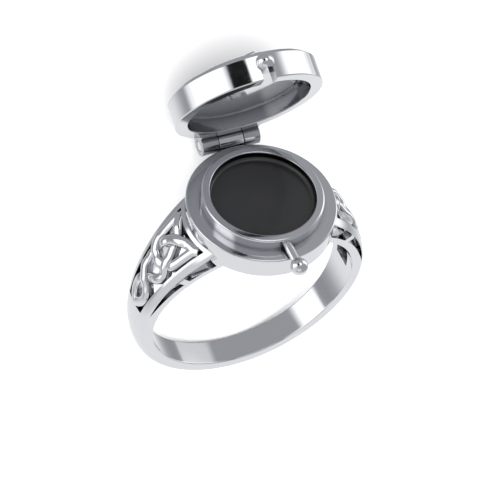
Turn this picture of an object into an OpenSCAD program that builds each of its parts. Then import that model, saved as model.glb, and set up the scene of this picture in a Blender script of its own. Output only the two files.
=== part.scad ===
// Locket ring: a pierced band, a round cup with a raised collar, a black disc in it and a hinged lid.
// Sizes are in millimetres. The shapes are drawn with the finger hole centred on the origin, its axis
// along Y and the head towards +Z, and are then laid on the side as the ring rests on a table.

/* [Band] */
// Radius of the finger hole
finger_r = 8.65; // [7.5:0.05:11]
// Radius of the band's crest below the middle of the finger hole
crest_r = 10.0; // [9.2:0.05:11.5]
// Radius of the arc that each shoulder's crest follows
shoulder_r = 13.0; // [11:0.1:16]
// Half width of the band level with the middle of the finger hole
half_w_mid = 1.72; // [1.2:0.01:2.5]
// Growth of the half width for each millimetre towards the head
half_w_grow = 0.11; // [0:0.005:0.2]
// Extra growth with the square of the height
half_w_curve = 0.0054; // [0:0.0002:0.01]
// How far the rounded back of the band stands over its flat sides at the bottom
crown = 0.6; // [0.2:0.05:0.9]
// The same near the head
crown_head = 0.8; // [0.2:0.05:0.9]

/* [Shoulder windows] */
// Radius of the windows' finger side
window_in_r = 9.35; // [9:0.05:10]
// Thickness left between a window and the crest
window_roof = 0.55; // [0.4:0.05:1]
// Rise of the finger side at the lower window's pointed end
window_tip = 0.15; // [0:0.01:0.15]
// Angle above the middle where the lower window starts
window_start = 13; // [8:1:25]
// Angle where the post between the two windows starts
post_start = 41.5; // [35:0.5:50]
// Angle where the post ends
post_end = 45; // [38:0.5:55]
// Angle where the upper window ends
window_end = 60; // [52:1:64]

/* [Knot openings] */
// Distance along the crest from the middle to the opening's lower edge
open_low_s = 1.85; // [1:0.05:3]
// Half width of the opening at its lower edge
open_low_w = 1.15; // [0.8:0.05:1.5]
// Half width of the opening at the head
open_high_w = 2.35; // [1.8:0.05:2.6]
// Radius round the cup where the opening stops
open_top_r = 6.1; // [6:0.05:6.8]
// Half width of the finger side's opening at its lower end
inner_low_w = 0.9; // [0.6:0.05:1.2]
// Half width of the finger side's opening at its upper end
inner_high_w = 1.6; // [1.2:0.05:2]

/* [Knot strands] */
// Width of a strand
strand_w = 0.86; // [0.6:0.02:0.9]
// Thickness of a strand
strand_t = 0.62; // [0.4:0.02:0.9]
// Rise of a strand where it passes over another one
strand_over = 0.12; // [0:0.02:0.35]
// Drop of a strand where it passes under another one
strand_under = 0.14; // [0:0.02:0.35]

/* [Cup] */
// Outer radius of the cup, its ledge and the lid
cup_r = 5.88; // [5:0.02:7]
// Height of the cup's underside over the middle of the finger hole
cup_low = 8.89; // [8.8:0.01:9.5]
// Height of the ledge that the lid closes on
ledge_z = 10.77; // [10:0.01:12]
// Outer radius of the collar
collar_r = 4.77; // [4:0.01:5.5]
// Height of the collar over the ledge
collar_h = 1.0; // [0.6:0.05:1.5]
// Radius of the collar's hole
pocket_r = 4.1; // [3.5:0.05:4.5]
// Height of the black disc's face over the ledge
inlay_top = 0.25; // [0:0.05:0.8]
// Thickness of the black disc
inlay_t = 0.5; // [0.3:0.05:1]

/* [Grips] */
// Radius of both balls
ball_r = 0.68; // [0.5:0.02:0.7]
// Radius of the rod that carries the cup's ball
rod_r = 0.35; // [0.25:0.01:0.4]
// Height of the rod's axis over the ledge
rod_z = 0.4; // [0.36:0.02:0.42]
// Distance of the cup's ball from the cup's axis
cup_ball_y = 7.0; // [6.95:0.05:7.8]
// Distance of the lid's ball from the lid's axis
lid_ball_y = 5.9; // [5.7:0.05:5.95]
// Height of the lid's ball over the rim
lid_ball_z = 1.3; // [1.26:0.02:1.7]
// Width of the notch that lets the rod through the lid's rim
notch_w = 1.0; // [0.8:0.05:1.4]
// Height of the notch
notch_h = 0.78; // [0.78:0.02:0.8]

/* [Lid] */
// Height of the lid's side wall
lid_h = 1.95; // [1.5:0.05:2.5]
// Radius of the recess in the lid
recess_r = 4.87; // [4.3:0.01:5.4]
// Depth of the recess
recess_d = 1.1; // [1.05:0.05:1.6]
// Height of the slope between the wall and the lid's face
lid_slope = 0.3; // [0.1:0.05:0.5]
// Radius of the three arcs of the knot ornament on the lid's face
knot_arc_r = 3.95; // [3:0.05:4]
// Height of the knot ornament over the lid's sunk face
knot_h = 0.7; // [0.2:0.05:0.75]
// Radius of the ring round the knot ornament
knot_ring_r = 4.3; // [3.5:0.05:4.4]
// Height of that ring
knot_ring_h = 0.55; // [0.2:0.05:0.6]
// Angle by which the lid stands open
open_angle = 67.2; // [0:0.1:87]

/* [Hinge] */
// Distance of the hinge axis behind the cup's axis
hinge_y = 6.76; // [6.7:0.01:7]
// Height of the hinge axis
hinge_z = 10.64; // [10.5:0.01:10.8]
// Radius of the hinge barrel
barrel_r = 0.85; // [0.6:0.01:0.9]
// Half length of the hinge barrel
barrel_half = 2.47; // [2:0.01:3]
// Half length of the middle knuckle
knuckle_half = 1.03; // [0.7:0.01:1.4]
// Radius of the hinge pin
pin_r = 0.4; // [0.25:0.01:0.5]
// Running clearance round the pin in the lid's knuckles
pin_gap = 0.03; // [0.01:0.01:0.08]

/* [Rest] */
// Angle between the ring's side and the table it lies on
lay_tilt = 18.3; // [0:0.1:30]

/* [Hidden] */
shoulder_x = shoulder_r - crest_r;
sweep_r = finger_r - 0.35;
inlay_z = ledge_z + inlay_top - inlay_t;
rim_z = ledge_z + 0.02;
seat_gap = 0.06;
step = 4;
// Angle up the shoulder where the band's back has grown to its full roundness
crown_end = 45;
// Angle that the lower window's pointed end takes up
tip_span = 14;
silver = [0.84, 0.84, 0.87];
black = [0.05, 0.05, 0.05];

// Radius of an arc centred beside the finger hole, seen from the finger hole's centre
function shoulder(t, r) = sqrt(r * r - pow(shoulder_x * sin(t), 2)) - shoulder_x * cos(t);
// The crest stays inside the cup near the top of the ring
function crest(t) = t < 0 ? crest_r : min(shoulder(t, shoulder_r), t > 60 ? (ledge_z - 0.5) / sin(t) : 99);
function half_w(z) = half_w_mid + half_w_grow * z + half_w_curve * z * z;
function lerp(a, b, k) = a + (b - a) * k;
function soft_step(k) = k * k * (3 - 2 * k);
function crown_at(t) = lerp(crown, crown_head, soft_step(max(0, min(1, t / crown_end))));

// One cross-section of the band, at angle u round from the bottom
function band_point(u, r, f) =
    let (t = abs(u) - 90, z = r * sin(t))
    [r * cos(t) * (u < 0 ? -1 : 1), f * half_w(z), z];
function band_section(u) =
    let (t = abs(u) - 90, c = crest(t), k = crown_at(t))
    concat([band_point(u, sweep_r, -1)],
           [for (a = [-90 : 15 : 90]) band_point(u, c - k + k * cos(a), sin(a))],
           [band_point(u, sweep_r, 1)]);

// A solid through a row of cross-sections with the same number of points
function ring_faces(n, m) = [for (i = [0 : n - 1]) for (j = [0 : m - 1])
    [i * m + j, ((i + 1) % n) * m + j, ((i + 1) % n) * m + (j + 1) % m, i * m + (j + 1) % m]];
function tube_faces(n, m) = concat(
    [for (i = [0 : n - 2]) for (j = [0 : m - 1])
        [i * m + j, (i + 1) * m + j, (i + 1) * m + (j + 1) % m, i * m + (j + 1) % m]],
    [[for (j = [0 : m - 1]) j]],
    [[for (j = [m - 1 : -1 : 0]) (n - 1) * m + j]]);

module band_solid() {
    rows = [for (u = [-180 : step : 180 - step]) band_section(u)];
    polyhedron([for (r = rows) for (p = r) p], ring_faces(len(rows), len(rows[0])), convexity = 8);
}

// Outer and inner edge of the side windows
function window_top(t) = shoulder(t, shoulder_r - window_roof);
function window_low(t) = min(window_top(t) - 0.005,
    window_in_r + window_tip * pow(max(0, 1 - (t - window_start) / tip_span), 2));
// Side window between two angles, cut from one side of the ring to the other
module window_cut(t0, t1, n) {
    rotate([90, 0, 0])
        linear_extrude(9, center = true)
            polygon(concat(
                [for (i = [0 : n]) let (t = lerp(t0, t1, i / n)) window_low(t) * [cos(t), sin(t)]],
                [for (i = [n : -1 : 0]) let (t = lerp(t0, t1, i / n)) window_top(t) * [cos(t), sin(t)]]));
}

// Opening that narrows away from the head, between two angles and two radii
module wedge_cut(t0, t1, r0, r1, w0, w1) {
    n = 8;
    rows = [for (i = [0 : n]) let (t = lerp(t0, t1, i / n), w = lerp(w0, w1, i / n))
        [for (q = [[r0, -1], [r1, -1], [r1, 1], [r0, 1]]) [q[0] * cos(t), q[1] * w, q[0] * sin(t)]]];
    polyhedron([for (r = rows) for (p = r) p], tube_faces(n + 1, 4), convexity = 4);
}

module knot_opening() {
    t_low = atan2(shoulder_r * sin(open_low_s / shoulder_r * 180 / PI),
                  shoulder_r * cos(open_low_s / shoulder_r * 180 / PI) - shoulder_x);
    difference() {
        wedge_cut(t_low, 60, window_in_r + 0.02, 14.5, open_low_w, open_high_w);
        translate([0, 0, 8])
            cylinder(h = 8, r = open_top_r, $fn = 96);
    }
    wedge_cut(2.5, 56, 7.5, window_in_r + 0.05, inner_low_w, inner_high_w);
}

// Knot strands: each row holds the place across the band, the distance up the crest, and 1 or -1
// where the strand passes over or under another one
near_strand = [
    [-2, 10.4, 0], [-1.75, 10.18, 0], [-1.3, 10.02, 0], [-0.8, 9.83, 0], [-0.3, 9.52, 1],
    [0.25, 9.12, 1], [0.72, 8.6, 0], [1, 8.05, 0], [1.14, 7.5, -1], [1.18, 7, -1],
    [1.18, 6.5, 0], [1.12, 5.9, 0], [0.92, 5.35, 1], [0.5, 4.88, 1], [0.05, 4.5, 1],
    [-0.38, 4.2, 0], [-0.7, 3.85, 0], [-0.82, 3.38, 0], [-0.72, 2.9, 0], [-0.45, 2.4, 0],
    [-0.1, 2, 0], [0.1, 1.65, 0]
];
far_strand = [
    [2.05, 10.4, 0], [1.5, 9.95, 0], [1, 9.65, 0], [0.55, 9.35, -1], [0.2, 9, -1],
    [-0.08, 8.65, 0], [-0.4, 8.1, 0], [-0.66, 7.55, 1], [-0.92, 7, 1], [-1.1, 6.55, 0],
    [-1.1, 6.1, 0], [-0.82, 5.64, 0], [-0.3, 5.14, -1], [0.3, 4.6, -1], [0.7, 4.1, 0],
    [0.86, 3.5, 0], [0.8, 2.85, 0], [0.55, 2.35, 0], [0.2, 2, 0], [-0.05, 1.65, 0]
];
loop_strand = [
    [2, 10.35, 0], [1.93, 9.9, 0], [1.86, 9.4, 0], [1.8, 8.9, 0], [1.76, 8.4, 0],
    [1.68, 7.9, 1], [1.48, 7.4, 1], [1.12, 7.02, 1], [0.65, 6.8, 0], [0.1, 6.7, 0],
    [-0.4, 6.85, -1], [-0.85, 7.15, -1], [-1.2, 7.65, 0], [-1.4, 8.25, 0], [-1.5, 8.85, 0],
    [-1.57, 9.4, 0], [-1.65, 9.9, 0], [-1.9, 10.35, 0]
];

function height_of(v) = v > 0 ? v * strand_over : v * strand_under;
// A place on the crest: across, up the crest, and over it
function on_crest(y, s, up) =
    let (a = s / shoulder_r * 180 / PI,
         w = half_w(shoulder_r * sin(a)),
         r = shoulder_r + up - crown * (1 - sqrt(max(0, 1 - pow(min(abs(y), w) / w, 2)))))
    [r * cos(a) - shoulder_x, y, r * sin(a)];
strand_shape = [[-0.5, -1], [-0.5, -0.24], [-0.24, 0.02], [0.24, 0.02], [0.5, -0.24], [0.5, -1]];

module strand(q) {
    e = len(q) - 1;
    rows = [for (i = [0 : e])
        let (a = q[max(i - 1, 0)], b = q[min(i + 1, e)], d = [b[0] - a[0], b[1] - a[1]],
             n = [d[1], -d[0]] / norm(d))
        [for (f = strand_shape)
            on_crest(q[i][0] + n[0] * f[0] * strand_w, q[i][1] + n[1] * f[0] * strand_w,
                     height_of(q[i][2]) + 0.04 + (f[1] > -1 ? f[1] * strand_t : -strand_t))]];
    polyhedron([for (r = rows) for (p = r) p], tube_faces(e + 1, len(strand_shape)), convexity = 10);
}

module shoulder_knot() {
    strand(near_strand);
    strand(far_strand);
    strand(loop_strand);
}

// The pierced band with both knots, joined before the exact round parts are cut
module pierced_band() {
    union() {
        difference() {
            band_solid();
            for (m = [0, 1]) mirror([m, 0, 0]) {
                window_cut(window_start, post_start, 12);
                window_cut(post_end, window_end, 7);
                knot_opening();
            }
        }
        shoulder_knot();
        mirror([1, 0, 0]) shoulder_knot();
    }
}

module cup_solid() {
    top = ledge_z + collar_h;
    rotate_extrude($fn = 96)
        polygon([[0, cup_low], [cup_r - 0.1, cup_low], [cup_r, cup_low + 0.1], [cup_r, ledge_z - 0.12],
                 [cup_r - 0.12, ledge_z], [collar_r, ledge_z], [collar_r, top - 0.1],
                 [collar_r - 0.1, top], [0, top]]);
}

module ring_body_shape() {
    difference() {
        union() {
            resize([0, 0, 0]) pierced_band();
            cup_solid();
            translate([0, -collar_r + 0.3, ledge_z + rod_z])
                rotate([90, 0, 0]) cylinder(h = cup_ball_y - collar_r, r = rod_r, $fn = 32);
            translate([0, -cup_ball_y, ledge_z + rod_z]) sphere(r = ball_r, $fn = 40);
            // Middle knuckle and the web that carries it
            translate([-knuckle_half, hinge_y, hinge_z])
                rotate([0, 90, 0]) cylinder(h = 2 * knuckle_half, r = barrel_r, $fn = 40);
            translate([-knuckle_half, cup_r - 0.6, ledge_z - 0.9])
                cube([2 * knuckle_half, hinge_y - cup_r + 0.6, 0.7]);
        }
        rotate([90, 0, 0]) cylinder(h = 20, r = finger_r, center = true, $fn = 128);
        translate([0, 0, inlay_z]) cylinder(h = 5, r = pocket_r, $fn = 96);
        translate([-5, hinge_y, hinge_z]) rotate([0, 90, 0]) cylinder(h = 10, r = pin_r, $fn = 32);
    }
}

module inlay_shape() {
    translate([0, 0, inlay_z]) cylinder(h = inlay_t, r = pocket_r, $fn = 96);
}

// Cross-section of a raised strand at a distance from its centre
module bead(r, h) {
    polygon([[r - 0.3, -0.2], [r + 0.3, -0.2], [r + 0.24, h - 0.12], [r + 0.1, h], [r - 0.1, h],
             [r - 0.24, h - 0.12]]);
}

// Traditional three-pointed knot in a ring, raised on the lid's face
module lid_ornament(z) {
    resize([0, 0, 0]) union() {
        for (a = [90, 210, 330])
            rotate([0, 0, a]) translate([knot_arc_r / sqrt(3), 0, z]) rotate([0, 0, 90])
                rotate_extrude(angle = 180, $fn = 72) bead(knot_arc_r, knot_h);
        translate([0, 0, z]) rotate_extrude($fn = 72) bead(knot_ring_r, knot_ring_h);
    }
}

module lid_closed() {
    face = rim_z + lid_h + lid_slope;
    difference() {
        union() {
            rotate_extrude($fn = 96)
                polygon([[0, rim_z], [cup_r - 0.08, rim_z], [cup_r, rim_z + 0.08], [cup_r, rim_z + lid_h],
                         [cup_r - 0.32, face], [cup_r - 0.9, face], [cup_r - 1.0, face - 0.2],
                         [0, face - 0.2]]);
            lid_ornament(face - 0.2);
            translate([0, -lid_ball_y, rim_z + lid_ball_z]) sphere(r = ball_r, $fn = 40);
            // Outer knuckles and the leaf that carries them
            translate([-barrel_half, hinge_y, hinge_z])
                rotate([0, 90, 0]) cylinder(h = 2 * barrel_half, r = barrel_r, $fn = 40);
            translate([-barrel_half, cup_r - 0.7, ledge_z + seat_gap])
                cube([2 * barrel_half, 0.7 + 0.57, 1.15]);
        }
        // Recess with a step round its ceiling
        translate([0, 0, rim_z - 1]) cylinder(h = 1 + recess_d, r = recess_r, $fn = 96);
        translate([0, 0, rim_z]) cylinder(h = recess_d + 0.12, r = recess_r - 0.35, $fn = 96);
        // Notch for the rod
        translate([-notch_w / 2, -cup_r - 1, rim_z - 1]) cube([notch_w, 1.5 + cup_r - recess_r, 1 + notch_h]);
        // Room for the middle knuckle and for the cup's wall
        translate([-knuckle_half - 0.05, hinge_y, hinge_z])
            rotate([0, 90, 0]) cylinder(h = 2 * knuckle_half + 0.1, r = barrel_r + 0.08, $fn = 40);
        translate([-5, hinge_y, hinge_z]) rotate([0, 90, 0]) cylinder(h = 10, r = pin_r + pin_gap, $fn = 32);
    }
}

module lid_shape() {
    translate([0, hinge_y, hinge_z]) rotate([-open_angle, 0, 0]) translate([0, -hinge_y, -hinge_z])
        lid_closed();
}

module hinge_pin_shape() {
    translate([-barrel_half, hinge_y, hinge_z])
        rotate([0, 90, 0]) cylinder(h = 2 * barrel_half, r = pin_r, $fn = 32);
}

// Laid on the side: the lid's back edge and the band's back edge touch the table
module laid() {
    rotate([lay_tilt - 90, 0, 0]) children();
}

module ring_body() {
    color(silver) laid() ring_body_shape();
}

module inlay() {
    color(black) laid() inlay_shape();
}

module lid() {
    color(silver) laid() lid_shape();
}

module hinge_pin() {
    color(silver) laid() hinge_pin_shape();
}

ring_body();
inlay();
lid();
hinge_pin();
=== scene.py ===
"""Looks of the locket ring: polished silver with pierced knot shoulders, a black disc and an open lid.

Lengths are in millimetres in the ring's own upright frame: the finger hole is centred on the origin with
its axis along Y, the head points to +Z and the hinge is towards +Y. LAY turns that frame onto the table.
"""
from math import atan2, cos, degrees, pi, radians, sin, sqrt, tan

import bmesh
import bpy
from mathutils import Matrix, Vector

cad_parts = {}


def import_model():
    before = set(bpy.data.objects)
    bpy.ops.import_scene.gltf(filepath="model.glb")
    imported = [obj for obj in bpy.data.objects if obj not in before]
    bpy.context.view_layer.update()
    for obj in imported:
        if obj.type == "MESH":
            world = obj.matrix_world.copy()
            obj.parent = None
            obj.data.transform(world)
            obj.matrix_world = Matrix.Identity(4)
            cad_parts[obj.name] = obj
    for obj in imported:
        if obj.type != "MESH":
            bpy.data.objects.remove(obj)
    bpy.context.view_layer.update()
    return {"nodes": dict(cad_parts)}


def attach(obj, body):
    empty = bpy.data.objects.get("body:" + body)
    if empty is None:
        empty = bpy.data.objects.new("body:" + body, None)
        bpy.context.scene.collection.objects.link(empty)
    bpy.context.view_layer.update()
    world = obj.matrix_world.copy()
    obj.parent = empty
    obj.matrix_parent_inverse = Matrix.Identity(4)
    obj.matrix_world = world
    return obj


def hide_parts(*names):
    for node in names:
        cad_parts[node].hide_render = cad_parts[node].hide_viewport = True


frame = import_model()

# Rest and lid. UPRIGHT turns directions of the upright ring into those of the ring on the table.
MM = 0.001
LAY_TILT = 18.3
OPEN_ANGLE = 67.2
LAY = Matrix.Rotation(radians(LAY_TILT - 90), 4, "X") @ Matrix.Scale(MM, 4)
UPRIGHT = LAY.to_3x3().normalized()

# Band
FINGER_R = 8.65
CREST_R = 10.0
SHOULDER_R = 13.0
SHOULDER_X = SHOULDER_R - CREST_R
CROWN = 0.6
CROWN_HEAD = 0.8
CROWN_END = 45
HEAD_ANGLE = 60
CREST_SUNK = 0.5
HALF_W = (1.72, 0.11, 0.0054)
EDGE = 0.12

# Windows and knot openings
WINDOW_IN_R = 9.35
WINDOW_ROOF = 0.55
WINDOW_TIP = 0.15
TIP_SPAN = 14
WINDOW_REACH = 4.5
WINDOWS = ((13, 41.5), (45, 60))
OPEN_LOW_S = 1.85
OPEN_W = (1.15, 2.35)
OPEN_R = (WINDOW_IN_R + 0.02, 14.5)
OPEN_TOP_R = 6.1
OPEN_TOP_Z = (8, 16)
INNER_W = (0.9, 1.6)
INNER_R = (7.5, WINDOW_IN_R + 0.05)
INNER_ANGLES = (2.5, 56)

# Strands
STRAND_W = 0.86
STRAND_T = 0.62
STRAND_OVER = 0.12
STRAND_UNDER = 0.14
STRAND_LIFT = 0.05

# Cup, disc and grips. PAST is how far a cut runs on outside the metal.
CUP_R = 5.88
CUP_LOW = 8.89
LEDGE_Z = 10.77
COLLAR_R = 4.77
COLLAR_H = 1.0
POCKET_R = 4.1
INLAY_TOP = 0.25
INLAY_T = 0.5
INLAY_CLIMB = 0.25
POCKET_FLOOR = LEDGE_Z + INLAY_TOP - 0.1
BALL_R = 0.68
ROD_R = 0.35
ROD_Z = 0.4
ROD_ROOT = 0.3
CUP_BALL_Y = 7.0
LID_BALL_Y = 5.9
LID_BALL_Z = 1.3
NOTCH_W = 1.0
NOTCH_H = 0.78
NOTCH_IN = 0.3
PAST = 1

# Lid and hinge
RIM_Z = LEDGE_Z + 0.02
LID_H = 1.95
LID_SLOPE = 0.3
RECESS_R = 4.87
RECESS_D = 1.1
RECESS_STEP_W = 0.35
RECESS_STEP_D = 0.12
SLOPE_W = 0.32
RIM_W = (0.9, 1.0)
SUNK = 0.2
KNOT_ARC_R = 3.95
KNOT_H = 0.7
KNOT_RING_R = 4.3
KNOT_RING_H = 0.62
KNOT_WAVE = 0.1
HINGE_Y = 6.76
HINGE_Z = 10.64
BARREL_R = 0.85
BARREL_HALF = 2.47
KNUCKLE_HALF = 1.03
BARREL_EDGE = 0.06
LEAF_Y = (CUP_R - 0.7, CUP_R + 0.57)
LEAF_Z = (LEDGE_Z + 0.06, LEDGE_Z + 1.21)
WEB_Y = (CUP_R - 0.6, HINGE_Y)
WEB_Z = (LEDGE_Z - 0.9, LEDGE_Z - 0.2)
PIN_R = 0.4
PIN_GAP = 0.03
PIN_EDGE = 0.05
HOLE_HALF = 5
BARREL_GAP = 0.08
KNUCKLE_GAP = 0.05
CUT_EDGE = 0.01
HINGE = Matrix.Translation((0, HINGE_Y, HINGE_Z))

# Camera at the photograph's angle: aim point and distance in millimetres, angles in degrees
AIM = (1.04, 2.04, 1.85)
CAMERA_AZIMUTH = -31.49
CAMERA_ELEVATION = 50.86
CAMERA_ROLL = -10.84
CAMERA_DISTANCE = 149.9
CAMERA_LENS = 132.6

# Edges between faces that meet at a wider angle than this stay sharp
SHARP_ANGLE = 28
COLLECTION = bpy.context.scene.collection


def mesh_object(name, points, faces):
    """A mesh object from points and faces."""
    mesh = bpy.data.meshes.new(name)
    mesh.from_pydata([tuple(p) for p in points], [], faces)
    mesh.validate()
    obj = bpy.data.objects.new(name, mesh)
    COLLECTION.objects.link(obj)
    return obj


def outward(obj):
    """Turns a closed mesh's faces outward."""
    bm = bmesh.new()
    bm.from_mesh(obj.data)
    bmesh.ops.remove_doubles(bm, verts=bm.verts, dist=1e-6)
    bmesh.ops.recalc_face_normals(bm, faces=bm.faces)
    if bm.calc_volume() < 0:
        bmesh.ops.reverse_faces(bm, faces=bm.faces)
    bm.to_mesh(obj.data)
    bm.free()
    return obj


def swept(name, rows, closed=False):
    """A solid through rows of points. closed joins the last row to the first one."""
    n = len(rows)
    m = len(rows[0])
    faces = []
    for i in range(n if closed else n - 1):
        k = (i + 1) % n
        faces += [(i * m + j, k * m + j, k * m + (j + 1) % m, i * m + (j + 1) % m) for j in range(m)]
    if not closed:
        faces += [tuple(range(m)), tuple(n * m - 1 - j for j in range(m))]
    return outward(mesh_object(name, [p for r in rows for p in r], faces))


def rounded(outline, radii, steps=4):
    """The outline with each corner rounded by its own radius."""
    out = []
    n = len(outline)
    for i, p in enumerate(outline):
        r = radii[i]
        a = Vector(outline[i - 1]) - Vector(p)
        b = Vector(outline[(i + 1) % n]) - Vector(p)
        if r <= 0:
            out.append(tuple(p))
            continue
        half = a.angle(b) / 2
        cut = r / tan(half)
        u = a.normalized()
        v = b.normalized()
        centre = Vector(p) + (u + v).normalized() * (r / sin(half))
        s = (Vector(p) + u * cut - centre).normalized()
        e = (Vector(p) + v * cut - centre).normalized()
        out += [tuple(centre + s.slerp(e, k / steps) * r) for k in range(steps + 1)]
    return out


def lathe(name, profile, segments=192):
    """A solid of revolution about the Z axis. The profile's first and last points are on the axis."""
    inner = profile[1:-1]
    points = [(r * cos(2 * pi * i / segments), r * sin(2 * pi * i / segments), z)
              for i in range(segments) for r, z in inner]
    m = len(inner)
    low = len(points)
    points += [(0, 0, profile[0][1]), (0, 0, profile[-1][1])]
    faces = []
    for i in range(segments):
        k = (i + 1) % segments
        faces += [(i * m + j, k * m + j, k * m + j + 1, i * m + j + 1) for j in range(m - 1)]
        faces += [(low, k * m, i * m), (low + 1, i * m + m - 1, k * m + m - 1)]
    return outward(mesh_object(name, points, faces))


def block(name, low, high):
    """A box between two corners."""
    xs, ys, zs = zip(low, high)
    rows = [[(x, ys[0], zs[0]), (x, ys[1], zs[0]), (x, ys[1], zs[1]), (x, ys[0], zs[1])] for x in xs]
    return swept(name, rows)


def rounded_rod(name, radius, start, end, edge, segments=64):
    """A rod along X with rounded ends."""
    part = edge * 0.3
    profile = [(0, start), (radius - edge, start), (radius - part, start + part), (radius, start + edge)]
    profile += [(radius, end - edge), (radius - part, end - part), (radius - edge, end), (0, end)]
    rod = lathe(name, profile, segments)
    rod.data.transform(Matrix.Rotation(pi / 2, 4, "Y"))
    return rod


def moved(obj, matrix):
    """The solid after a move or turn of its points."""
    obj.data.transform(matrix)
    return obj


def mirrored(obj, name):
    """A copy of the solid on the ring's other side."""
    copy = bpy.data.objects.new(name, obj.data.copy())
    COLLECTION.objects.link(copy)
    copy.data.transform(Matrix.Scale(-1, 4, (1, 0, 0)))
    return outward(copy)


def applied(obj):
    """The piece with its changes made part of its mesh."""
    bpy.context.view_layer.update()
    made = bpy.data.meshes.new_from_object(obj.evaluated_get(bpy.context.evaluated_depsgraph_get()))
    obj.modifiers.clear()
    obj.data = made
    return obj


def combine(body, others, operation):
    """Adds the other solids to the body, or cuts them from it, and removes them."""
    for other in others:
        change = body.modifiers.new("combine", "BOOLEAN")
        change.operation = operation
        change.solver = "MANIFOLD"
        change.object = other
    applied(body)
    for other in others:
        bpy.data.objects.remove(other)
    return body


def shoulder(t, r):
    """Distance from the finger hole's centre to an arc centred beside it, at an angle in degrees."""
    return sqrt(r * r - (SHOULDER_X * sin(radians(t))) ** 2) - SHOULDER_X * cos(radians(t))


def crest(t):
    """Distance from the finger hole's centre to the crest, which stays inside the cup at the head."""
    if t < 0:
        return CREST_R
    if t <= HEAD_ANGLE:
        return shoulder(t, SHOULDER_R)
    return min(shoulder(t, SHOULDER_R), (LEDGE_Z - CREST_SUNK) / sin(radians(t)))


def crown(t):
    """Height of the rounded back over the flat sides, at an angle in degrees."""
    k = max(0, min(1, t / CROWN_END))
    return CROWN + (CROWN_HEAD - CROWN) * k * k * (3 - 2 * k)


def half_w(z):
    """Half width of the band at a height."""
    return HALF_W[0] + HALF_W[1] * z + HALF_W[2] * z * z


def band():
    """The band as one closed sweep round the finger hole, with soft inner edges."""
    step = 2
    rows = []
    for u in range(-180, 180, step):
        t = abs(u) - 90
        c = crest(t)
        k = crown(t)
        section = [(FINGER_R, -1, EDGE), (FINGER_R + 0.3 * EDGE, -1, 0.3 * EDGE), (FINGER_R + EDGE, -1, 0)]
        section += [(c - k + k * cos(radians(a)), sin(radians(a)), 0) for a in range(-90, 91, 6)]
        section += [(r, -f, e) for r, f, e in reversed(section[:3])]
        x = cos(radians(t)) * (-1 if u < 0 else 1)
        z = sin(radians(t))
        rows.append([(r * x, f * (half_w(r * z) - e), r * z) for r, f, e in section])
    return swept("band", rows, closed=True)


def window_cut(t0, t1):
    """The solid that cuts a side window through the shoulder from front to back."""
    n = 24
    angles = [t0 + (t1 - t0) * i / n for i in range(n + 1)]
    low = [(t, WINDOW_IN_R + WINDOW_TIP * max(0, 1 - (t - WINDOWS[0][0]) / TIP_SPAN) ** 2) for t in angles]
    top = [(t, shoulder(t, SHOULDER_R - WINDOW_ROOF)) for t in reversed(angles)]
    outline = [(r * cos(radians(t)), r * sin(radians(t))) for t, r in low + top]
    return swept("window", [[(x, y, z) for x, z in outline] for y in (-WINDOW_REACH, WINDOW_REACH)])


def wedge_cut(angles, radii, widths):
    """The solid that cuts an opening whose width changes along the shoulder."""
    n = 24
    rows = []
    for i in range(n + 1):
        t = radians(angles[0] + (angles[1] - angles[0]) * i / n)
        w = widths[0] + (widths[1] - widths[0]) * i / n
        corners = ((radii[0], -w), (radii[1], -w), (radii[1], w), (radii[0], w))
        rows.append([(r * cos(t), y, r * sin(t)) for r, y in corners])
    return swept("wedge", rows)


def knot_openings():
    """The solids that cut the knot's opening through one shoulder, wider outside than at the finger."""
    a = OPEN_LOW_S / SHOULDER_R
    low = degrees(atan2(SHOULDER_R * sin(a), SHOULDER_R * cos(a) - SHOULDER_X))
    outer = wedge_cut((low, HEAD_ANGLE), OPEN_R, OPEN_W)
    bottom, top = OPEN_TOP_Z
    keep = lathe("keep", [(0, bottom), (OPEN_TOP_R, bottom), (OPEN_TOP_R, top), (0, top)])
    combine(outer, [keep], "DIFFERENCE")
    inner = wedge_cut(INNER_ANGLES, INNER_R, INNER_W)
    return [outer, inner]


# Strand paths: place across the band, distance up the crest, and 1 or -1 where the strand passes over
# or under another one
NEAR_STRAND = (
    (-2, 10.4, 0), (-1.75, 10.18, 0), (-1.3, 10.02, 0), (-0.8, 9.83, 0), (-0.3, 9.52, 1),
    (0.25, 9.12, 1), (0.72, 8.6, 0), (1, 8.05, 0), (1.14, 7.5, -1), (1.18, 7, -1),
    (1.18, 6.5, 0), (1.12, 5.9, 0), (0.92, 5.35, 1), (0.5, 4.88, 1), (0.05, 4.5, 1),
    (-0.38, 4.2, 0), (-0.7, 3.85, 0), (-0.82, 3.38, 0), (-0.72, 2.9, 0), (-0.45, 2.4, 0),
    (-0.1, 2, 0), (0.1, 1.65, 0),
)
FAR_STRAND = (
    (2.05, 10.4, 0), (1.5, 9.95, 0), (1, 9.65, 0), (0.55, 9.35, -1), (0.2, 9, -1),
    (-0.08, 8.65, 0), (-0.4, 8.1, 0), (-0.66, 7.55, 1), (-0.92, 7, 1), (-1.1, 6.55, 0),
    (-1.1, 6.1, 0), (-0.82, 5.64, 0), (-0.3, 5.14, -1), (0.3, 4.6, -1), (0.7, 4.1, 0),
    (0.86, 3.5, 0), (0.8, 2.85, 0), (0.55, 2.35, 0), (0.2, 2, 0), (-0.05, 1.65, 0),
)
LOOP_STRAND = (
    (2, 10.35, 0), (1.93, 9.9, 0), (1.86, 9.4, 0), (1.8, 8.9, 0), (1.76, 8.4, 0),
    (1.68, 7.9, 1), (1.48, 7.4, 1), (1.12, 7.02, 1), (0.65, 6.8, 0), (0.1, 6.7, 0),
    (-0.4, 6.85, -1), (-0.85, 7.15, -1), (-1.2, 7.65, 0), (-1.4, 8.25, 0), (-1.5, 8.85, 0),
    (-1.57, 9.4, 0), (-1.65, 9.9, 0), (-1.9, 10.35, 0),
)


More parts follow.
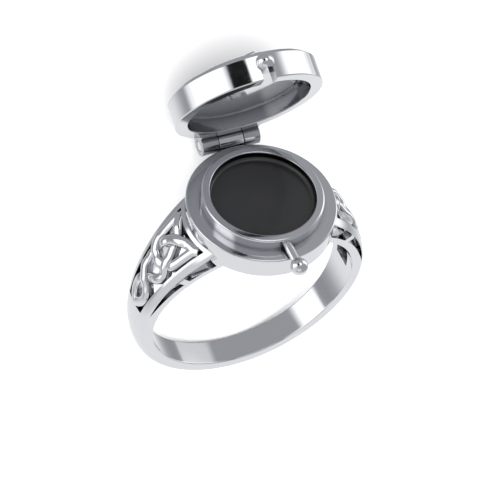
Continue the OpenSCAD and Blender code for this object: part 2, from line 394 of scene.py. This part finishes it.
def smooth_path(points, n):
    """A smooth curve through the points, with n steps between neighbours."""
    out = []
    last = len(points) - 1
    for i in range(last):
        a, b, c, d = (Vector(points[max(0, min(last, k))]) for k in (i - 1, i, i + 1, i + 2))
        for k in range(n):
            s = k / n
            out.append(0.5 * (2 * b + (c - a) * s + (2 * a - 5 * b + 4 * c - d) * s * s
                              + (3 * b - a - 3 * c + d) * s ** 3))
    return out + [Vector(points[-1])]


def on_crest(y, s, up):
    """A place on the shoulder's crest: across, up the crest, and over it."""
    a = s / SHOULDER_R
    w = half_w(SHOULDER_R * sin(a))
    fall = CROWN * (1 - sqrt(max(0, 1 - (min(abs(y), w) / w) ** 2)))
    r = SHOULDER_R + up - fall
    return (r * cos(a) - SHOULDER_X, y, r * sin(a))


def strand(name, path):
    """A strand with a rounded back, laid along the crest."""
    line = smooth_path(path, 5)
    foot = -1
    side = -0.75
    middle = -0.42
    back = 0.44
    shape = [(-0.5, foot), (-0.5, side)]
    shape += [(-0.5 * cos(radians(a)), middle + back * sin(radians(a))) for a in range(0, 181, 15)]
    shape += [(0.5, side), (0.5, foot)]
    rows = []
    for i, p in enumerate(line):
        d = line[min(i + 1, len(line) - 1)] - line[max(i - 1, 0)]
        n = Vector((d.y, -d.x)).normalized()
        lift = STRAND_LIFT + (p.z * STRAND_OVER if p.z > 0 else p.z * STRAND_UNDER)
        rows.append([on_crest(p.x + n.x * f * STRAND_W, p.y + n.y * f * STRAND_W,
                              (lift if h > foot else 0) + h * STRAND_T) for f, h in shape])
    return swept(name, rows)


def shoulder_knot():
    """The three strands of one shoulder."""
    return [strand("strand", path) for path in (NEAR_STRAND, FAR_STRAND, LOOP_STRAND)]


def cup():
    """Cup and collar with the pocket for the disc."""
    top = LEDGE_Z + COLLAR_H
    corners = [(0, CUP_LOW), (CUP_R, CUP_LOW), (CUP_R, LEDGE_Z), (COLLAR_R, LEDGE_Z), (COLLAR_R, top),
               (POCKET_R, top), (POCKET_R, POCKET_FLOOR), (0, POCKET_FLOOR)]
    radii = [0, 0.12, 0.12, 0, 0.16, 0.14, 0, 0]
    return lathe("cup", rounded(corners, radii))


def ball(name, y, z, radius):
    """A ball on the ring's centre line."""
    n = 32
    profile = [(radius * sin(pi * i / n), -radius * cos(pi * i / n)) for i in range(n + 1)]
    profile[0] = (0, -radius)
    profile[-1] = (0, radius)
    return moved(lathe(name, profile, 64), Matrix.Translation((0, y, z)))


def cup_grip():
    """Rod and ball in front of the cup."""
    length = CUP_BALL_Y - COLLAR_R + ROD_ROOT
    rod = lathe("rod", [(0, 0), (ROD_R, 0), (ROD_R, length), (0, length)], 64)
    root = Matrix.Translation((0, -COLLAR_R + ROD_ROOT, LEDGE_Z + ROD_Z))
    rod.data.transform(root @ Matrix.Rotation(pi / 2, 4, "X"))
    return [rod, ball("cup_ball", -CUP_BALL_Y, LEDGE_Z + ROD_Z, BALL_R)]


def middle_knuckle():
    """The cup's knuckle and the web that carries it."""
    knuckle = rounded_rod("knuckle", BARREL_R, -KNUCKLE_HALF, KNUCKLE_HALF, BARREL_EDGE)
    web = block("web", (-KNUCKLE_HALF, WEB_Y[0], WEB_Z[0]), (KNUCKLE_HALF, WEB_Y[1], WEB_Z[1]))
    return [moved(knuckle, HINGE), web]


def ring_body():
    """The band, its knots, the cup, the cup's grip and the middle knuckle in one piece."""
    body = band()
    cuts = [window_cut(*w) for w in WINDOWS] + knot_openings()
    cuts += [mirrored(c, c.name + "_other") for c in cuts]
    combine(body, cuts, "DIFFERENCE")
    knot = shoulder_knot()
    knot += [mirrored(k, k.name + "_other") for k in knot]
    combine(body, knot + [cup()] + cup_grip() + middle_knuckle(), "UNION")
    return body


def bead(r, h):
    """Cross-section of a raised strand at a distance from its centre."""
    half = 0.3
    foot = -0.2
    low = h - half * 0.8
    shape = [(r - half, foot), (r - half, low)]
    shape += [(r - half * cos(radians(a)), low + (h - low) * sin(radians(a))) for a in range(15, 180, 15)]
    return shape + [(r + half, low), (r + half, foot)]


def ornament(z):
    """Traditional three-pointed knot in a ring, raised on the lid's face, with its strands interlaced."""
    centre = KNOT_ARC_R / sqrt(3)
    parts = []
    for turn in (90, 210, 330):
        rows = []
        for a in range(90, 271, 5):
            wave = KNOT_WAVE * (cos(radians(3 * (a - 150))) - 1)
            rows.append([(centre + r * cos(radians(a)), r * sin(radians(a)), z + h)
                         for r, h in bead(KNOT_ARC_R, KNOT_H + wave)])
        parts.append(moved(swept("arc", rows), Matrix.Rotation(radians(turn), 4, "Z")))
    circle = [[(r * cos(radians(a)), r * sin(radians(a)), z + h) for r, h in bead(KNOT_RING_R, KNOT_RING_H)]
              for a in range(0, 360, 3)]
    return parts + [swept("circle", circle, closed=True)]


def lid():
    """The lid with its recess, knot, ball, leaf and outer knuckles, turned open on the hinge."""
    face = RIM_Z + LID_H + LID_SLOPE
    ceiling = RIM_Z + RECESS_D
    step_r = RECESS_R - RECESS_STEP_W
    step_z = ceiling + RECESS_STEP_D
    corners = [(0, step_z), (step_r, step_z), (step_r, ceiling), (RECESS_R, ceiling), (RECESS_R, RIM_Z),
               (CUP_R, RIM_Z), (CUP_R, RIM_Z + LID_H), (CUP_R - SLOPE_W, face), (CUP_R - RIM_W[0], face),
               (CUP_R - RIM_W[1], face - SUNK), (0, face - SUNK)]
    radii = [0, 0.03, 0.04, 0.06, 0.08, 0.1, 0.08, 0.08, 0.06, 0.04, 0]
    body = lathe("lid_shell", rounded(corners, radii))
    barrel = moved(rounded_rod("barrel", BARREL_R, -BARREL_HALF, BARREL_HALF, BARREL_EDGE), HINGE)
    leaf = block("leaf", (-BARREL_HALF, LEAF_Y[0], LEAF_Z[0]), (BARREL_HALF, LEAF_Y[1], LEAF_Z[1]))
    grip = ball("lid_ball", -LID_BALL_Y, RIM_Z + LID_BALL_Z, BALL_R)
    combine(body, ornament(face - SUNK) + [grip, barrel, leaf], "UNION")
    below = RIM_Z - PAST
    room = lathe("room", [(0, below), (RECESS_R, below), (RECESS_R, ceiling), (0, ceiling)])
    notch = block("notch", (-NOTCH_W / 2, -CUP_R - PAST, below),
                  (NOTCH_W / 2, -RECESS_R + NOTCH_IN, RIM_Z + NOTCH_H))
    gap_half = KNUCKLE_HALF + KNUCKLE_GAP
    gap = moved(rounded_rod("gap", BARREL_R + BARREL_GAP, -gap_half, gap_half, CUT_EDGE), HINGE)
    hole = moved(rounded_rod("hole", PIN_R + PIN_GAP, -HOLE_HALF, HOLE_HALF, CUT_EDGE), HINGE)
    combine(body, [room, notch, gap, hole], "DIFFERENCE")
    return moved(body, HINGE @ Matrix.Rotation(radians(-OPEN_ANGLE), 4, "X") @ HINGE.inverted())


def inlay():
    """The black disc, whose rim climbs the pocket's wall in a hollow curve."""
    z = LEDGE_Z + INLAY_TOP
    middle = (POCKET_R - INLAY_CLIMB, z + INLAY_CLIMB)
    profile = [(0, z - INLAY_T), (POCKET_R, z - INLAY_T)]
    profile += [(middle[0] + INLAY_CLIMB * cos(radians(a)), middle[1] - INLAY_CLIMB * sin(radians(a)))
                for a in range(0, 91, 10)]
    return lathe("disc", profile + [(0, z)])


def hinge_pin():
    """The pin through all three knuckles."""
    return moved(rounded_rod("pin", PIN_R, -BARREL_HALF, BARREL_HALF, PIN_EDGE), HINGE)


def finish_piece(obj, name, node, body, material):
    """Lays the piece on the table, gives it its finish and stands it for its CAD node."""
    obj.data.shade_smooth()
    obj.data.set_sharp_from_angle(angle=radians(SHARP_ANGLE))
    even = obj.modifiers.new("even_normals", "WEIGHTED_NORMAL")
    even.mode = "FACE_AREA_WITH_ANGLE"
    even.thresh = 0
    even.keep_sharp = True
    applied(obj)
    obj.name = name
    obj.data.name = name
    obj.data.transform(LAY)
    obj.data.materials.clear()
    obj.data.materials.append(material)
    for polygon in obj.data.polygons:
        polygon.material_index = 0
    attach(obj, body)
    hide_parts(node)
    return obj


def new_material(name):
    """A new material with its nodes, links and main shader."""
    material = bpy.data.materials.new(name)
    material.use_nodes = True
    nodes = material.node_tree.nodes
    return material, nodes, material.node_tree.links, nodes["Principled BSDF"]


# How near other metal has to be, in metres, for painted shade to darken the silver as a hollow; the lid's
# wider reach darkens its whole recess
RING_SHADE_REACH = 0.0009
LID_SHADE_REACH = 0.009


def pocket_wall_shade(nodes, links, place):
    """Mask of painted shade: 1 on the wall round the black disc and 0 elsewhere, from the distance to the
    cup's axis.
    """
    axis = UPRIGHT @ Vector((0, 0, 1))
    up = nodes.new("ShaderNodeVectorMath")
    up.operation = "DOT_PRODUCT"
    up.inputs[1].default_value = axis
    links.new(place.outputs["Object"], up.inputs[0])
    high = nodes.new("ShaderNodeMath")
    high.operation = "COMPARE"
    high.inputs[1].default_value = (LEDGE_Z + COLLAR_H / 2) * MM
    high.inputs[2].default_value = COLLAR_H / 2 * MM
    links.new(up.outputs["Value"], high.inputs[0])
    aside = nodes.new("ShaderNodeVectorMath")
    aside.operation = "CROSS_PRODUCT"
    aside.inputs[1].default_value = axis
    links.new(place.outputs["Object"], aside.inputs[0])
    away = nodes.new("ShaderNodeVectorMath")
    away.operation = "LENGTH"
    links.new(aside.outputs["Vector"], away.inputs[0])
    near = nodes.new("ShaderNodeMapRange")
    near.interpolation_type = "SMOOTHSTEP"
    near.inputs["From Min"].default_value = (POCKET_R + 0.06) * MM
    near.inputs["From Max"].default_value = (POCKET_R + 0.01) * MM
    links.new(away.outputs["Value"], near.inputs["Value"])
    both = nodes.new("ShaderNodeMath")
    both.operation = "MULTIPLY"
    links.new(high.outputs[0], both.inputs[0])
    links.new(near.outputs["Result"], both.inputs[1])
    return both.outputs[0]


def silver_material(name, painted_shade_reach):
    """Polished silver: soft edges, faint polishing marks, and painted shade in the hollows and on the
    pocket wall.
    """
    material, nodes, links, shader = new_material(name)
    shader.inputs["Metallic"].default_value = 1.0
    place = nodes.new("ShaderNodeTexCoord")
    marks = nodes.new("ShaderNodeTexNoise")
    marks.inputs["Scale"].default_value = 900
    marks.inputs["Detail"].default_value = 5
    links.new(place.outputs["Object"], marks.inputs["Vector"])
    dull = nodes.new("ShaderNodeMapRange")
    dull.inputs["From Min"].default_value = 0.3
    dull.inputs["From Max"].default_value = 0.75
    dull.inputs["To Min"].default_value = 0.045
    dull.inputs["To Max"].default_value = 0.12
    links.new(marks.outputs["Fac"], dull.inputs["Value"])
    links.new(dull.outputs["Result"], shader.inputs["Roughness"])
    # Painted shade: ambient occlusion darkens the silver's colour in hollows and creases, from near black
    # to the open silver
    hollow = nodes.new("ShaderNodeAmbientOcclusion")
    hollow.inputs["Distance"].default_value = painted_shade_reach
    hollow.samples = 8
    tint = nodes.new("ShaderNodeValToRGB")
    tint.color_ramp.elements[0].position = 0.12
    tint.color_ramp.elements[0].color = (0.12, 0.12, 0.135, 1)
    tint.color_ramp.elements[1].position = 0.66
    tint.color_ramp.elements[1].color = (0.735, 0.745, 0.772, 1)
    half = tint.color_ramp.elements.new(0.4)
    half.color = (0.3, 0.305, 0.32, 1)
    links.new(hollow.outputs["AO"], tint.inputs["Fac"])
    # Painted shade: the wall round the black disc is painted near black
    wall = nodes.new("ShaderNodeMix")
    wall.data_type = "RGBA"
    wall.inputs["B"].default_value = (0.015, 0.015, 0.017, 1)
    links.new(pocket_wall_shade(nodes, links, place), wall.inputs["Factor"])
    links.new(tint.outputs["Color"], wall.inputs["A"])
    links.new(wall.outputs["Result"], shader.inputs["Base Color"])
    soft_edge = nodes.new("ShaderNodeBevel")
    soft_edge.samples = 6
    soft_edge.inputs["Radius"].default_value = 0.00002
    bump = nodes.new("ShaderNodeBump")
    bump.inputs["Strength"].default_value = 0.04
    bump.inputs["Distance"].default_value = 0.00002
    links.new(marks.outputs["Fac"], bump.inputs["Height"])
    links.new(soft_edge.outputs["Normal"], bump.inputs["Normal"])
    links.new(bump.outputs["Normal"], shader.inputs["Normal"])
    return material


def black_material():
    """Smooth black stone or enamel with a faint cloudiness."""
    material, nodes, links, shader = new_material("black_gloss")
    shader.inputs["Coat Weight"].default_value = 0.4
    shader.inputs["Coat Roughness"].default_value = 0.08
    place = nodes.new("ShaderNodeTexCoord")
    cloud = nodes.new("ShaderNodeTexNoise")
    cloud.inputs["Scale"].default_value = 350
    cloud.inputs["Detail"].default_value = 4
    links.new(place.outputs["Object"], cloud.inputs["Vector"])
    tone = nodes.new("ShaderNodeValToRGB")
    tone.color_ramp.elements[0].color = (0.009, 0.009, 0.009, 1)
    tone.color_ramp.elements[1].color = (0.017, 0.017, 0.018, 1)
    links.new(cloud.outputs["Fac"], tone.inputs["Fac"])
    links.new(tone.outputs["Color"], shader.inputs["Base Color"])
    rough = nodes.new("ShaderNodeMapRange")
    rough.inputs["To Min"].default_value = 0.25
    rough.inputs["To Max"].default_value = 0.4
    links.new(cloud.outputs["Fac"], rough.inputs["Value"])
    links.new(rough.outputs["Result"], shader.inputs["Roughness"])
    return material


def floor_material():
    """Plain pale matt floor."""
    material, _, _, shader = new_material("pale_floor")
    shader.inputs["Base Color"].default_value = (0.93, 0.93, 0.94, 1)
    shader.inputs["Roughness"].default_value = 0.6
    return material


def floor():
    """A plain pale floor under the lowest point of the ring."""
    low = min(v.co.z for o in frame["nodes"].values() for v in o.data.vertices)
    half = 1.5
    corners = [(-half, -half, low), (half, -half, low), (half, half, low), (-half, half, low)]
    plane = mesh_object("floor", corners, [(0, 1, 2, 3)])
    plane.data.materials.append(floor_material())
    plane.visible_glossy = False


def direction(azimuth, elevation):
    """Unit vector in the upright ring's frame. Azimuth 0 is the front, 90 is +X."""
    a = radians(azimuth)
    e = radians(elevation)
    return Vector((sin(a) * cos(e), -cos(a) * cos(e), sin(e)))


# Studio round the upright ring. Each panel has the azimuth and elevation of its middle, its half width,
# half height and the softness of its edge in degrees, its brightness, and whether it is round.
PANELS = (
    ("back wall", 180, 25, 66, 60, 8, 0.41, False),
    ("left screen", -76, 0, 20, 32, 6, 0.8, False),
    ("front screen", -25, 2, 26, 18, 3, 0.85, False),
    ("right screen", 110, 16, 18, 20, 4, 0.8, False),
    ("right window", 102, 14, 15, 30, 5, 1.5, False),
    ("left side window", -121, 13, 6, 15, 2, 1.5, False),
    ("left window", -104, 17, 14, 29, 2, 1.5, False),
    ("upper left window", -92, 36, 14, 18, 5, 1.5, False),
    ("horizon", 180, -17, 65, 12, 3, 0.37, False),
    ("ceiling light", 25, 80, 17, 17, 2, 1.5, True),
    ("lens", -74, 70.5, 14, 14, 2, 0.01, True),
    ("floor behind", 140, -74, 20, 20, 8, 0.32, True),
)
SURROUND = 0.42
TABLE_EDGE = (-18, -48)
TABLE_BRIGHT = 0.95
PLAIN_LIGHT = 1.6


def world():
    """Soft studio surroundings in the upright ring's own directions, laid down with it."""
    made = bpy.data.worlds.new("studio")
    bpy.context.scene.world = made
    made.use_nodes = True
    nodes = made.node_tree.nodes
    links = made.node_tree.links
    nodes.clear()
    place = nodes.new("ShaderNodeTexCoord")

    def math(operation, *values):
        """The result of one sum over numbers and other nodes' results."""
        node = nodes.new("ShaderNodeMath")
        node.operation = operation
        for socket, value in zip(node.inputs, values):
            if isinstance(value, (int, float)):
                socket.default_value = value
            else:
                links.new(value, socket)
        return node.outputs[0]

    def along(axis):
        """How far the light's direction points along an axis of the upright ring."""
        node = nodes.new("ShaderNodeVectorMath")
        node.operation = "DOT_PRODUCT"
        node.inputs[1].default_value = UPRIGHT @ axis
        links.new(place.outputs["Generated"], node.inputs[0])
        return node.outputs["Value"]

    def fade(value, start, end):
        """0 at the start and 1 at the end, with a smooth change between them."""
        node = nodes.new("ShaderNodeMapRange")
        node.interpolation_type = "SMOOTHSTEP"
        node.inputs["From Min"].default_value = start
        node.inputs["From Max"].default_value = end
        links.new(value, node.inputs["Value"])
        return node.outputs["Result"]

    def painted(light, mask, bright):
        """The light with a brighter or darker patch over it."""
        return math("ADD", light, math("MULTIPLY", mask, math("SUBTRACT", bright, light)))

    light = SURROUND
    for _, azimuth, elevation, half_width, half_height, edge, bright, is_round in PANELS:
        middle = direction(azimuth, elevation)
        aside = direction(azimuth + 90, 0)
        ahead = along(middle)
        a = math("DIVIDE", math("ARCTAN2", along(aside), ahead), radians(half_width))
        b = math("DIVIDE", math("ARCTAN2", along(aside.cross(middle)), ahead), radians(half_height))
        if is_round:
            out = math("SQRT", math("ADD", math("MULTIPLY", a, a), math("MULTIPLY", b, b)))
        else:
            out = math("MAXIMUM", math("ABSOLUTE", a), math("ABSOLUTE", b))
        soft = edge / min(half_width, half_height)
        light = painted(light, fade(out, 1 + soft, 1 - soft), bright)
    table = fade(along(Vector((0, 0, 1))), *(sin(radians(e)) for e in TABLE_EDGE))
    light = painted(light, table, TABLE_BRIGHT)
    tint = nodes.new("ShaderNodeMix")
    tint.data_type = "RGBA"
    tint.inputs["A"].default_value = (0.9, 0.93, 1.0, 1)
    tint.inputs["B"].default_value = (1.0, 1.0, 1.0, 1)
    links.new(light, tint.inputs["Factor"])
    seen = nodes.new("ShaderNodeLightPath")
    studio = nodes.new("ShaderNodeBackground")
    links.new(tint.outputs["Result"], studio.inputs["Color"])
    links.new(light, studio.inputs["Strength"])
    plain = nodes.new("ShaderNodeBackground")
    plain.inputs["Color"].default_value = (1.0, 1.0, 1.0, 1)
    plain.inputs["Strength"].default_value = PLAIN_LIGHT
    mix = nodes.new("ShaderNodeMixShader")
    links.new(seen.outputs["Is Glossy Ray"], mix.inputs["Fac"])
    links.new(plain.outputs["Background"], mix.inputs[1])
    links.new(studio.outputs["Background"], mix.inputs[2])
    out = nodes.new("ShaderNodeOutputWorld")
    links.new(mix.outputs["Shader"], out.inputs["Surface"])


def lamps():
    """One wide soft lamp over the table."""
    data = bpy.data.lights.new("soft_top", "AREA")
    data.energy = 0.6
    data.size = 0.3
    lamp = bpy.data.objects.new("soft_top", data)
    COLLECTION.objects.link(lamp)
    lamp.location = (-0.06, 0.16, 0.28)
    lamp.visible_glossy = False
    lamp.rotation_mode = "QUATERNION"
    lamp.rotation_quaternion = (-lamp.location).to_track_quat("-Z", "Y")


def camera():
    """The photograph's camera, placed round the upright ring and laid down with it."""
    back = direction(CAMERA_AZIMUTH, CAMERA_ELEVATION)
    level = (Vector((0, 0, 1)) - back * back.z).normalized()
    side = level.cross(back)
    roll = radians(CAMERA_ROLL)
    up = level * cos(roll) + side * sin(roll)
    right = up.cross(back)
    turn = Matrix((right, up, back)).transposed().to_4x4()
    place = Matrix.Translation(Vector(AIM) + back * CAMERA_DISTANCE) @ turn
    data = bpy.data.cameras.new("camera")
    data.sensor_width = 36
    data.lens = CAMERA_LENS
    data.clip_start = 0.01
    data.clip_end = 10
    eye = bpy.data.objects.new("camera", data)
    COLLECTION.objects.link(eye)
    where, rotation, _ = (LAY @ place).decompose()
    eye.rotation_mode = "QUATERNION"
    eye.location = where
    eye.rotation_quaternion = rotation
    bpy.context.scene.camera = eye


bpy.context.scene.view_settings.view_transform = "Standard"
silver = silver_material("polished_silver", RING_SHADE_REACH)
lid_silver = silver_material("lid_silver", LID_SHADE_REACH)
finish_piece(ring_body(), "ring_body_fine", "ring_body", "ring", silver)
finish_piece(lid(), "lid_fine", "lid", "lid", lid_silver)
finish_piece(inlay(), "inlay_fine", "inlay", "ring", black_material())
finish_piece(hinge_pin(), "hinge_pin_fine", "hinge_pin", "ring", silver)
floor()
world()
lamps()
camera()
